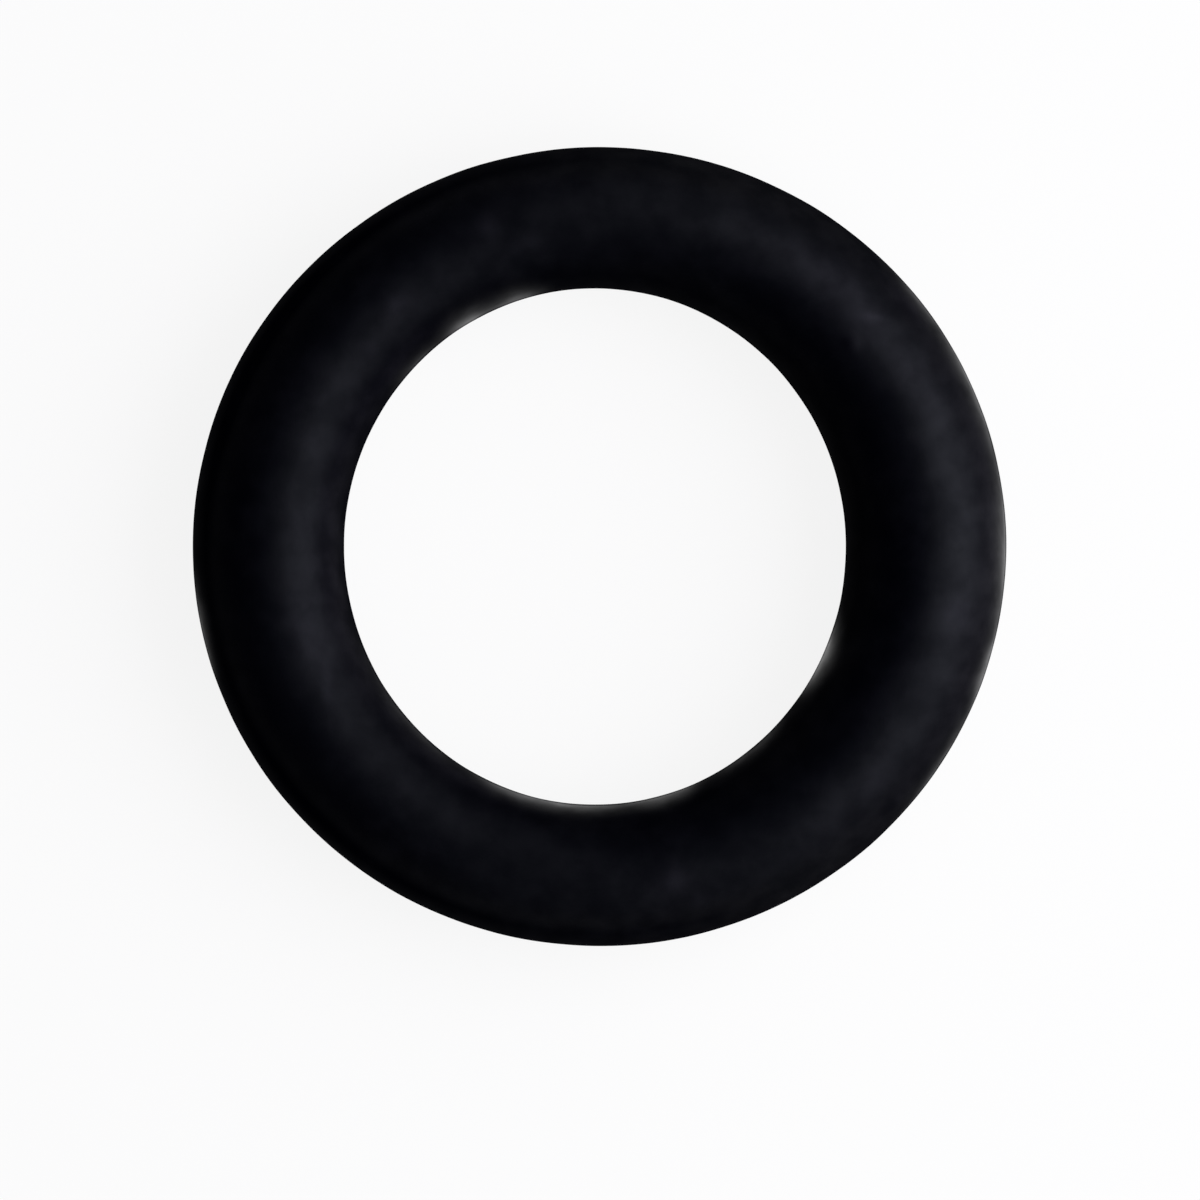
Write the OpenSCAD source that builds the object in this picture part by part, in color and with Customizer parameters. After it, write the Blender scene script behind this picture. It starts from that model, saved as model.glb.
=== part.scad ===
// Rubber O-ring: one closed loop of round cord, moulded in one piece.
// The two halves of its mould meet halfway up the cord, and leave a fine trimmed
// parting line around the inside and around the outside.
// The origin is the ring's centre, halfway up the cord. +Z is the ring's axis, so it
// lies flat with its lowest circle at half a cord below the origin.

/* [Ring] */
// Inside diameter of the ring, between the cord's surfaces
inside_d = 12; // [4:0.1:40]
// Diameter of the round cord
cord_d = 3.5; // [1:0.1:8]

/* [Parting line] */
// Width of the parting line, along the ring's axis
parting_w = 0.12; // [0.06:0.01:0.2]
// How far the trimmed parting line stands out from the cord
parting_h = 0.02; // [0.01:0.01:0.1]

/* [Hidden] */
$fn = 180;

// Radius of the circle that the middle of the cord follows
cord_path_r = (inside_d + cord_d) / 2;

// The cord cut across: a round, with one strip through its middle whose two ends
// are the parting lines on the inside and on the outside of the ring
module cord_section() {
    circle(d = cord_d);
    square([cord_d + 2 * parting_h, parting_w], center = true);
}

module o_ring() {
    color([0.06, 0.06, 0.07])
        rotate_extrude()
            translate([cord_path_r, 0])
                cord_section();
}

o_ring();
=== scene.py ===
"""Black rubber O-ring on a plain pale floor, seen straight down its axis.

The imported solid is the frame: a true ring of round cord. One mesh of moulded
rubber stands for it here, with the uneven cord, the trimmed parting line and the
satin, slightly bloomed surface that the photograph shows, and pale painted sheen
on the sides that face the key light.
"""

import math

import bpy
import numpy as np
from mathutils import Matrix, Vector, noise


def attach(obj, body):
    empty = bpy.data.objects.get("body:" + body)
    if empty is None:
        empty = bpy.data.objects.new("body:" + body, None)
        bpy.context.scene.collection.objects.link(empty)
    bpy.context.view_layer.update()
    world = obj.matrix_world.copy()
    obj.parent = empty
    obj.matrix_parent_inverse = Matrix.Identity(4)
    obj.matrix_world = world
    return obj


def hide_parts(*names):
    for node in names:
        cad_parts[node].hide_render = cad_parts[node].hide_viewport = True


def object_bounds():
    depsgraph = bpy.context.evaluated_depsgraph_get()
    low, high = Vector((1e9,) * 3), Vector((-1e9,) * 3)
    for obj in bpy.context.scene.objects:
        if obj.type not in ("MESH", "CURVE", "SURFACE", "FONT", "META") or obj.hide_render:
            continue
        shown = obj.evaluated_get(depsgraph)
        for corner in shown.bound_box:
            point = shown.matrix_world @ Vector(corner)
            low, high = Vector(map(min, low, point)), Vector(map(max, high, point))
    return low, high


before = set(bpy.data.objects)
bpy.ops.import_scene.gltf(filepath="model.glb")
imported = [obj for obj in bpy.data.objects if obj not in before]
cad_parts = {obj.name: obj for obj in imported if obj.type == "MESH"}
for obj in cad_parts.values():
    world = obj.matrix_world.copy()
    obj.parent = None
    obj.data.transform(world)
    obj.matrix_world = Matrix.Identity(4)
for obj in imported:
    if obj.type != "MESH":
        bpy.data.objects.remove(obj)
cad_low, cad_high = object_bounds()

# Sizes. The frame's own box gives the ring: its mid circle, its cord's height and the floor
MM = 0.001
CORD_HALF_H = cad_high.z
PARTING_H = 0.02 * MM
PATH_R = cad_high.x - PARTING_H - CORD_HALF_H
FLOOR_Z = cad_low.z

# The cord as the photograph shows it: mean half width, and how the width changes round the ring
CORD_HALF_W = 1.733 * MM
SIDE_SWELL = 0.050
RIGHT_SWELL = 0.031

# Mesh density: stations round the ring, steps over each half of the cord, and rows beside the
# parting line, in half widths of it
STATIONS = 720
HALF_STEPS = 44
LINE_ROWS = [0.35, 0.7, 0.95, 1.2, 1.5, 1.9, 2.6]

# The mesh is crowded round the nib: reach and step
CROWD_REACH = 0.36 * MM
CROWD_STEP = 0.036 * MM

# Parting line: half its width, the softness of its edges and the pale bloom on it
LINE_HALF_W = 0.06 * MM
LINE_SOFT = 0.035 * MM
LINE_BLOOM = 0.30

# How trimming left the parting line: how far it wanders up and down, the share by which its height
# varies, the lobes of both round the ring, and the slices of noise that both read, outside and inside
LINE_WANDER = 0.008 * MM
LINE_UNEVEN = 0.18
WANDER_LOBES = 9
UNEVEN_LOBES = 40
LINE_SLICES = [(3.1, 5.7), (10.1, 12.7)]

# Noise values seldom pass 0.6 either way, so this brings them to about -1 to 1
NOISE_GAIN = 1.6

# Waves of the moulded surface, too low to see but for what they do to the light: size and height
WAVES = [(1.3 * MM, 0.005 * MM), (0.55 * MM, 0.0015 * MM)]

# Marks on the surface, of bloom and dust, some of them raised, and long pale patches of painted sheen:
# turn round the ring and angle over the cord from its outside, in degrees, half length and half width
# in mm, slant in degrees, strength of the pale colour, height in mm. The long patches on the right
# half's outer side and along the inner rim on the left are painted sheen that lifts the sides facing
# the key; the nib, the streak and the small spots are bloom and dust.
NIB = (38.3, 94, 0.25, 0.19, -15, 0.15, 0.030)
MARKS_AND_PAINTED_SHEEN = [
    NIB,
    (25, 65, 1.00, 0.35, 0, 0.15, 0),
    (38, 30, 0.45, 0.35, 0, 0.28, 0),
    (40, 70, 0.30, 0.09, 50, 0.50, 0.003),
    (45, 74, 1.50, 0.45, 0, 0.27, 0),
    (104, 107, 0.40, 0.25, 0, 0.20, 0),
    (109, 84, 0.30, 0.30, 0, 0.35, 0),
    (130, 104, 0.30, 0.25, 0, 0.30, 0),
    (139, 113, 0.20, 0.20, 0, 0.20, 0),
    (140, 145, 1.80, 0.42, 0, 0.20, 0),
    (160, 110, 0.25, 0.20, 0, 0.15, 0),
    (176, 117, 0.50, 0.30, 0, 0.15, 0),
    (188, 146, 4.50, 0.50, 0, 0.29, 0),
    (196, 112, 1.20, 0.40, 0, 0.28, 0),
    (207, 112, 0.60, 0.12, -25, 0.35, 0),
    (236, 154, 2.80, 0.40, 0, 0.18, 0),
    (283, 82, 0.38, 0.34, 0, 0.32, 0),
    (286, 58, 0.20, 0.20, 0, 0.15, 0),
    (320, 64, 0.40, 0.25, 0, 0.15, 0),
    (349, 63, 0.40, 0.30, 0, 0.40, 0),
    (358, 36, 4.80, 0.50, 0, 0.30, 0),
]

# Glossier and duller patches: turn round the ring and angle over the cord in degrees, half length
# and half width in mm, and how much they add to the shine
POLISH = [
    # Pale glints along the outer rim
    (23, 6, 1.50, 0.55, 0.62),
    (37.5, 6, 0.45, 0.55, 0.25),
    (192, 8, 0.65, 0.40, 0.30),
    (329, 6, 1.00, 0.50, 0.32),
    (342.5, 6, 0.60, 0.50, 0.92),
    (359, 6, 1.12, 0.60, 1.10),
    # Pale glints along the inner rim
    (108.5, 172, 0.62, 0.60, 0.60),
    (120, 172, 0.60, 0.70, 0.71),
    (135, 172, 0.80, 0.50, 0.17),
    (222, 171, 2.00, 0.50, 0.12),
    (252, 174, 1.00, 0.50, 0.44),
    (264, 174, 1.50, 0.50, 0.70),
    (285, 174, 0.75, 0.55, 0.68),
    (307, 170, 1.00, 0.40, 0.15),
    (334, 175, 0.78, 0.54, 1.15),
    # Broad glossier stretches
    (43, 98, 0.60, 0.35, 0.030),
    (66, 36, 3.50, 0.50, 0.035),
    (80, 75, 3.20, 0.60, 0.070),
    (190, 140, 5.20, 0.60, 0.088),
    (258, 70, 3.60, 0.60, 0.065),
    (302, 38, 2.00, 0.50, 0.040),
    (356, 42, 5.60, 0.70, 0.081),
    # Broad duller stretches, and a dull spot beside the nib
    (3, 108, 4.00, 0.55, -0.045),
    (39.3, 98, 0.16, 0.13, -0.060),
    (146, 45, 4.60, 0.50, -0.038),
    (180, 64, 4.00, 0.55, -0.030),
    (192, 113, 6.50, 0.65, -0.036),
    (228, 46, 4.20, 0.50, -0.032),
    (285, 125, 1.60, 0.55, -0.045),
    (336, 76, 2.00, 0.80, -0.028),
]

# Rubber: its own colour, and that of the bloom, which also serves as painted sheen on the sides that
# face the key
RUBBER_DARK = (0.0003, 0.0004, 0.0013, 1)
RUBBER_BLOOM_AND_PAINTED_SHEEN = (0.0112, 0.0102, 0.0134, 1)

# The moulded skin: its roughness, how much it shines down at the parting lines and on the crest, and
# the heights between which that changes, as shares of half the cord
SKIN_ROUGHNESS = 0.42
FLANK_SHINE = 0.015
CREST_SHINE = 0.135
FLANK_SHARE = 0.55
CREST_SHARE = 0.98

# Noise in the material, in lobes per metre, with its levels of detail: clouds, broad drifts of them
# and a fine grain, with the grain's strength and depth
CLOUDS = (1500, 3)
DRIFTS = (450, 2)
GRAIN = (16000, 2)
GRAIN_STRENGTH = 0.12
GRAIN_DEPTH = 0.01 * MM

# The values of the clouds that count, and how far they make the shine, the marks and the patches vary
CLOUD_SPAN = (0.25, 0.75)
CLOUDY_SHINE = (0.80, 1.20)
CLOUDY_PATCH = (0.7, 1.3)

# Faint haze of bloom all over: where the clouds carry it and how much, and what the drifts leave of it
HAZE_SPAN = (0.30, 0.85)
HAZE = (0.0, 0.12)
DRIFT_SPAN = (0.35, 0.70)
DRIFT_SHARE = (0.3, 1.0)

# Light: a little cool, from the right and above
COOL_LIGHT = (0.92, 0.955, 1.13, 1)
KEY_AZIMUTH = math.radians(2)
KEY_ZENITH = math.radians(47)

# The key's far part, with its strength and the angle that it fills, and its near part, with its power,
# its distance and its sides
FAR_STRENGTH = 0.25
FAR_ANGLE = math.radians(40)
NEAR_POWER = 0.054
NEAR_DISTANCE = 0.08
NEAR_SIDES = (0.10, 0.075)

# World: its strength from left to right, and the stretch of X over which that changes
WORLD_SPAN = (-0.5, 0.9)
WORLD_STRENGTH = (0.02, 1.3)

# Camera: straight down, with the frame's width and the ring's place in it
PHOTO_PX = 1200
RING_CENTRE_PX = (597.2, 546.6)
PX_PER_MM = 42.4
CAMERA_HEIGHT = 0.25
CLIP = (0.01, 2.0)

# Floor: its warm white, which the cool light makes neutral, and the share of plain white in it where
# it is seen directly
FLOOR_COLOUR = (0.92, 0.88, 0.78, 1)
FLOOR_GLOW = 0.88

# The floor is a dish that rises gently round a flat middle, so that a low camera sees no horizon:
# rings of its mesh, the last one of the flat, how far the rim rises, and the mesh's sides
DISH_RADII = [0.0, 0.3, 0.5, 0.6, 0.7, 0.8, 0.9, 1.0]
DISH_FLAT = 0.5
DISH_RISE = 0.12
DISH_SIDES = 96


def smooth(t):
    """Eased step from 0 to 1."""
    t = np.clip(t, 0.0, 1.0)
    return t * t * (3 - 2 * t)


def half_width(angle):
    """Half the cord's width at an angle round the ring, anticlockwise from +X."""
    return CORD_HALF_W * (1 + SIDE_SWELL * np.cos(2 * angle) + RIGHT_SWELL * np.cos(angle))


def ring_noise(turn, lobes, height):
    """Smooth noise from -1 to 1 round the ring that closes on itself, with about that many lobes."""
    reach = lobes / math.tau
    spots = [Vector((reach * math.cos(t), reach * math.sin(t), height)) for t in turn.ravel()]
    return NOISE_GAIN * np.array([noise.noise(spot) for spot in spots]).reshape(turn.shape)


def crowded(values, centre, radius):
    """Angles with closely spaced ones put in round a centre, for a mark on a circle of that radius."""
    reach, step = CROWD_REACH / radius, CROWD_STEP / radius
    count = round(reach / step)
    kept = [v for v in values if abs(v - centre) > reach + step]
    return sorted(kept + [centre + step * k for k in range(-count, count + 1)])


def turns():
    """Angles of the stations round the ring."""
    even = [math.tau * i / STATIONS for i in range(STATIONS)]
    return crowded(even, math.radians(NIB[0]), PATH_R)


def section_angles():
    """Angles round the cord, from the outside over the top, closely spaced at both parting lines."""
    close = [LINE_HALF_W * row / CORD_HALF_H for row in LINE_ROWS]
    first, last = close[-1], math.pi - close[-1]
    arc = [first + (last - first) * k / HALF_STEPS for k in range(1, HALF_STEPS)]
    half = close + arc + [math.pi - c for c in reversed(close)]
    upper = crowded(half, math.radians(NIB[1]), CORD_HALF_H)
    return [0.0, *upper, math.pi, *[math.pi + a for a in half]]


def reach_of(turn, over, patch_turn, patch_over, length, width, slant=0):
    """How much of a soft oval patch reaches each point of the ring: 1 at its middle, fading to 0."""
    along = (turn - math.radians(patch_turn) + math.pi) % math.tau - math.pi
    across = (over - math.radians(patch_over) + math.pi) % math.tau - math.pi
    along, across = along * PATH_R / MM, across * CORD_HALF_H / MM
    c, s = math.cos(math.radians(slant)), math.sin(math.radians(slant))
    return np.exp(-((along * c + across * s) / length) ** 2 - ((across * c - along * s) / width) ** 2)


def placed(turn, out, up):
    """Points at an angle round the ring, a distance from its axis and a height."""
    return np.stack(np.broadcast_arrays(out * np.cos(turn), out * np.sin(turn), up), axis=-1)


def wave_height(spot):
    """Height of the low waves of the moulded surface at a point."""
    return sum(height * noise.noise(spot / size) for size, height in WAVES)


def parting_line(turn, up, outer):
    """How much of the parting line is at each point, from 0 to 1, and how far it stands proud."""
    middle, proud = np.zeros(outer.shape), np.zeros(outer.shape)
    for side, (wander_slice, uneven_slice) in zip((outer, ~outer), LINE_SLICES):
        middle += side * LINE_WANDER * ring_noise(turn, WANDER_LOBES, wander_slice)
        proud += side * PARTING_H * (1 + LINE_UNEVEN * ring_noise(turn, UNEVEN_LOBES, uneven_slice))
    return smooth((LINE_HALF_W + LINE_SOFT / 2 - np.abs(up - middle)) / LINE_SOFT), proud


def closed_quads(rows, columns):
    """Corner numbers of the quads of a grid of points that closes on itself both ways."""
    index = np.arange(rows * columns).reshape(rows, columns)
    following = np.roll(index, -1, axis=0)
    corners = [index, following, np.roll(following, -1, axis=1), np.roll(index, -1, axis=1)]
    return np.stack(corners, axis=-1).reshape(-1, 4)


def ring_mesh(name):
    """The ring as one closed mesh of quads, with the bloom, part of it painted sheen, and the polish
    stored at its points.
    """
    turn, over = np.array(turns())[:, None], np.array(section_angles())[None, :]
    up, across = CORD_HALF_H * np.sin(over), half_width(turn) * np.cos(over)
    outer = across > 0

    spots = placed(turn, PATH_R + across, up)
    rise = np.array([[wave_height(Vector(spot)) for spot in row] for row in spots])
    line, proud = parting_line(turn, up, outer)
    bloom_and_painted_sheen, polish = np.zeros(rise.shape), np.zeros(rise.shape)
    # Pale colour from the marks: bloom and dust, and painted sheen on the sides that face the key
    for *patch, strength, height in MARKS_AND_PAINTED_SHEEN:
        share = reach_of(turn, over, *patch)
        bloom_and_painted_sheen += strength * share
        rise += height * MM * share
    for *patch, shine in POLISH:
        polish += shine * reach_of(turn, over, *patch)
    bloom_and_painted_sheen += LINE_BLOOM * line

    out = PATH_R + across + rise * np.cos(over) + np.where(outer, proud, -proud) * line
    up = np.maximum(up + rise * np.sin(over), -CORD_HALF_H)
    verts = placed(turn, out, up).reshape(-1, 3)

    mesh = bpy.data.meshes.new(name)
    mesh.from_pydata(verts.tolist(), [], closed_quads(*rise.shape).tolist())
    for key, values in (("bloom_and_painted_sheen", bloom_and_painted_sheen), ("polish", polish)):
        mesh.attributes.new(key, "FLOAT", "POINT").data.foreach_set("value", values.ravel())
    mesh.update()
    mesh.shade_smooth()
    return mesh


def add_math(nodes, links, operation, first, second):
    """A Math node on two sockets or numbers, and its result."""
    node = nodes.new("ShaderNodeMath")
    node.operation = operation
    for socket, value in zip(node.inputs, (first, second)):
        if isinstance(value, (int, float)):
            socket.default_value = value
        else:
            links.new(value, socket)
    return node.outputs["Value"]


def add_range(nodes, links, value, source, target):
    """A Map Range node that eases a value from one range to another, and its result."""
    node = nodes.new("ShaderNodeMapRange")
    node.interpolation_type = "SMOOTHSTEP"
    for name, number in zip(("From Min", "From Max", "To Min", "To Max"), (*source, *target)):
        node.inputs[name].default_value = number
    links.new(value, node.inputs["Value"])
    return node.outputs["Result"]


def add_stored(nodes, name):
    """A value stored at the points of the mesh."""
    node = nodes.new("ShaderNodeAttribute")
    node.attribute_name = name
    return node.outputs["Fac"]


def add_noise(nodes, links, where, scale, detail):
    """A Noise texture in the ring's own space, and its value."""
    node = nodes.new("ShaderNodeTexNoise")
    node.inputs["Scale"].default_value = scale
    node.inputs["Detail"].default_value = detail
    links.new(where, node.inputs["Vector"])
    return node.outputs["Fac"]


def rubber_colour(nodes, links, where, clouds, cloudy):
    """Black rubber with the stored marks of bloom and painted sheen, broken up by the clouds, and a
    faint haze of bloom.
    """
    stored_marks_and_sheen = add_math(nodes, links, "MULTIPLY", add_stored(nodes, "bloom_and_painted_sheen"), cloudy)
    drifts = add_noise(nodes, links, where, *DRIFTS)
    haze = add_range(nodes, links, clouds, HAZE_SPAN, HAZE)
    left = add_range(nodes, links, drifts, DRIFT_SPAN, DRIFT_SHARE)
    haze = add_math(nodes, links, "MULTIPLY", haze, left)
    tone = nodes.new("ShaderNodeMix")
    tone.data_type = "RGBA"
    tone.clamp_factor = False
    tone.inputs["A"].default_value = RUBBER_DARK
    tone.inputs["B"].default_value = RUBBER_BLOOM_AND_PAINTED_SHEEN
    links.new(add_math(nodes, links, "ADD", stored_marks_and_sheen, haze), tone.inputs["Factor"])
    return tone.outputs["Result"]


def skin_shine(nodes, links, where, clouds, cloudy):
    """How much the skin shines: by height over the cord, by the clouds and by the stored patches."""
    split = nodes.new("ShaderNodeSeparateXYZ")
    links.new(where, split.inputs["Vector"])
    height = add_math(nodes, links, "ABSOLUTE", split.outputs["Z"], 0.0)
    span = (FLANK_SHARE * CORD_HALF_H, CREST_SHARE * CORD_HALF_H)
    shine = add_range(nodes, links, height, span, (FLANK_SHINE, CREST_SHINE))
    patchy = add_range(nodes, links, clouds, CLOUD_SPAN, CLOUDY_SHINE)
    shine = add_math(nodes, links, "MULTIPLY", shine, patchy)
    polish = add_math(nodes, links, "MULTIPLY", add_stored(nodes, "polish"), cloudy)
    total = add_math(nodes, links, "ADD", shine, polish)
    total.node.use_clamp = True
    return total


def grain_bump(nodes, links, where):
    """Fine grain of the moulded surface."""
    bump = nodes.new("ShaderNodeBump")
    bump.inputs["Strength"].default_value = GRAIN_STRENGTH
    bump.inputs["Distance"].default_value = GRAIN_DEPTH
    links.new(add_noise(nodes, links, where, *GRAIN), bump.inputs["Height"])
    return bump.outputs["Normal"]


def rubber_material(name):
    """Satin black rubber under a thin moulded skin, with clouds, a pale bloom, pale painted sheen on
    the sides that face the key, and a fine grain.
    """
    mat = bpy.data.materials.new(name)
    mat.use_nodes = True
    nodes, links = mat.node_tree.nodes, mat.node_tree.links
    shader = nodes["Principled BSDF"]
    shader.inputs["Specular IOR Level"].default_value = 0
    shader.inputs["Coat Roughness"].default_value = SKIN_ROUGHNESS

    where = nodes.new("ShaderNodeTexCoord").outputs["Object"]
    clouds = add_noise(nodes, links, where, *CLOUDS)
    cloudy = add_range(nodes, links, clouds, CLOUD_SPAN, CLOUDY_PATCH)
    links.new(rubber_colour(nodes, links, where, clouds, cloudy), shader.inputs["Base Color"])
    links.new(skin_shine(nodes, links, where, clouds, cloudy), shader.inputs["Coat Weight"])
    normal = grain_bump(nodes, links, where)
    for socket in ("Normal", "Coat Normal"):
        links.new(normal, shader.inputs[socket])
    return mat


def seen_directly(nodes, links):
    """1 for a ray that shows the background itself: from the camera, a gloss or a clear part."""
    path = nodes.new("ShaderNodeLightPath")
    either = path.outputs["Is Camera Ray"]
    for kind in ("Is Glossy Ray", "Is Transmission Ray"):
        either = add_math(nodes, links, "MAXIMUM", either, path.outputs[kind])
    return either


def floor_material(name):
    """White floor that keeps the shadow, lightened by a white glow where it is seen directly."""
    mat = bpy.data.materials.new(name)
    mat.use_nodes = True
    nodes, links = mat.node_tree.nodes, mat.node_tree.links
    nodes.remove(nodes["Principled BSDF"])
    lit = nodes.new("ShaderNodeBsdfDiffuse")
    lit.inputs["Color"].default_value = FLOOR_COLOUR
    glow = nodes.new("ShaderNodeEmission")
    share = add_math(nodes, links, "MULTIPLY", seen_directly(nodes, links), FLOOR_GLOW)
    mix = nodes.new("ShaderNodeMixShader")
    links.new(share, mix.inputs["Fac"])
    links.new(lit.outputs["BSDF"], mix.inputs[1])
    links.new(glow.outputs["Emission"], mix.inputs[2])
    links.new(mix.outputs["Shader"], nodes["Material Output"].inputs["Surface"])
    return mat


def make_ring():
    """The rubber ring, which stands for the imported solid."""
    ring = bpy.data.objects.new("rubber_ring", ring_mesh("rubber_ring"))
    bpy.context.scene.collection.objects.link(ring)
    ring.data.materials.append(rubber_material("black_rubber"))
    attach(ring, "root")
    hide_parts("o_ring")


def make_floor():
    """Flat round the ring, then rising gently to the rim of a wide, shallow dish."""
    verts, faces = [(0, 0, FLOOR_Z)], []
    for k, radius in enumerate(DISH_RADII[1:]):
        z = FLOOR_Z + DISH_RISE * smooth((radius - DISH_FLAT) / (DISH_RADII[-1] - DISH_FLAT))
        for i in range(DISH_SIDES):
            turn = math.tau * i / DISH_SIDES
            verts.append((radius * math.cos(turn), radius * math.sin(turn), z))
            this, after = 1 + k * DISH_SIDES + i, 1 + k * DISH_SIDES + (i + 1) % DISH_SIDES
            inner = (this - DISH_SIDES, after - DISH_SIDES)
            faces.append((0, this, after) if k == 0 else (inner[0], this, after, inner[1]))
    mesh = bpy.data.meshes.new("floor")
    mesh.from_pydata(verts, [], faces)
    mesh.shade_smooth()
    floor = bpy.data.objects.new("floor", mesh)
    bpy.context.scene.collection.objects.link(floor)
    floor.data.materials.append(floor_material("floor_white"))


def make_lamp(name, kind, energy, place):
    """A lamp at a place, aimed at the ring's centre."""
    data = bpy.data.lights.new(name, kind)
    data.energy = energy
    data.color = COOL_LIGHT[:3]
    lamp = bpy.data.objects.new(name, data)
    lamp.location = place
    lamp.rotation_euler = Vector(place).to_track_quat("Z", "Y").to_euler()
    lamp.visible_camera = False
    bpy.context.scene.collection.objects.link(lamp)
    return data


def make_key():
    """A broad soft key from the right, partly near the ring."""
    out = math.sin(KEY_ZENITH)
    towards = (out * math.cos(KEY_AZIMUTH), out * math.sin(KEY_AZIMUTH), math.cos(KEY_ZENITH))
    far = make_lamp("key", "SUN", FAR_STRENGTH, towards)
    far.angle = FAR_ANGLE
    near = make_lamp("near_key", "AREA", NEAR_POWER, [NEAR_DISTANCE * t for t in towards])
    near.shape = "RECTANGLE"
    near.size, near.size_y = NEAR_SIDES


def make_world():
    """A plain world that darkens to the left."""
    world = bpy.data.worlds.new("studio")
    bpy.context.scene.world = world
    world.use_nodes = True
    nodes, links = world.node_tree.nodes, world.node_tree.links
    split = nodes.new("ShaderNodeSeparateXYZ")
    links.new(nodes.new("ShaderNodeTexCoord").outputs["Generated"], split.inputs["Vector"])
    back = nodes["Background"]
    back.inputs["Color"].default_value = COOL_LIGHT
    strength = add_range(nodes, links, split.outputs["X"], WORLD_SPAN, WORLD_STRENGTH)
    links.new(strength, back.inputs["Strength"])


def make_camera():
    """A camera straight above, which holds the photograph's frame at the ring's distance."""
    data = bpy.data.cameras.new("camera")
    frame_w = PHOTO_PX / PX_PER_MM * MM
    data.lens = data.sensor_width * CAMERA_HEIGHT / frame_w
    data.clip_start, data.clip_end = CLIP
    camera = bpy.data.objects.new("camera", data)
    right = (PHOTO_PX / 2 - RING_CENTRE_PX[0]) / PX_PER_MM * MM
    down = (RING_CENTRE_PX[1] - PHOTO_PX / 2) / PX_PER_MM * MM
    camera.location = (right, down, CAMERA_HEIGHT)
    bpy.context.scene.collection.objects.link(camera)
    bpy.context.scene.camera = camera


bpy.context.scene.view_settings.view_transform = "Standard"
make_camera()
make_ring()
make_floor()
make_key()
make_world()
